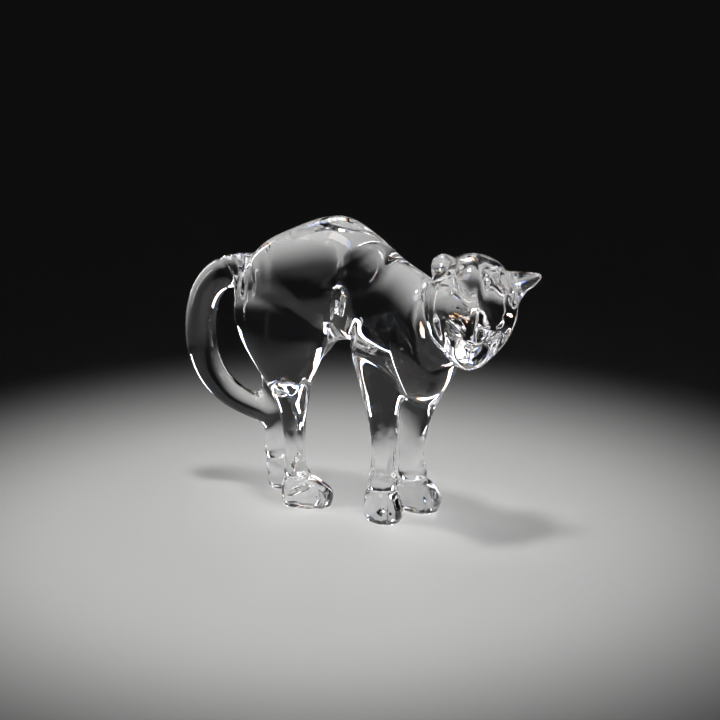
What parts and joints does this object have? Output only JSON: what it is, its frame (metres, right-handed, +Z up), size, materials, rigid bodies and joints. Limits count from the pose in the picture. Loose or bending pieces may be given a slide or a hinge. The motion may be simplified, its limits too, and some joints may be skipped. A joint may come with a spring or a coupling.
{
  "type": "crystal cat figurine",
  "caption": "Clear lead-crystal figurine of a standing cat with an arched back, its head turned out and its tail looped back onto a hind leg.",
  "frame": {"origin": "on the surface the soles stand on, under the middle of the figure's bounding box", "axes": "+X the way the cat stands, from tail to head; +Y the cat's left; +Z up"},
  "size_m": [0.1841, 0.0538, 0.1416],
  "materials": {
    "crystal": "clear fire-polished lead crystal; the soles are assumed to be ground flat"
  },
  "bodies": {
    "root": {"torso": "crystal", "head": "crystal", "left_ear": "crystal", "right_ear": "crystal", "tail": "crystal", "front_left_leg": "crystal", "front_right_leg": "crystal", "hind_left_leg": "crystal", "hind_right_leg": "crystal", "front_left_paw": "crystal", "front_right_paw": "crystal", "hind_left_paw": "crystal", "hind_right_paw": "crystal"}
  },
  "joints": []
}
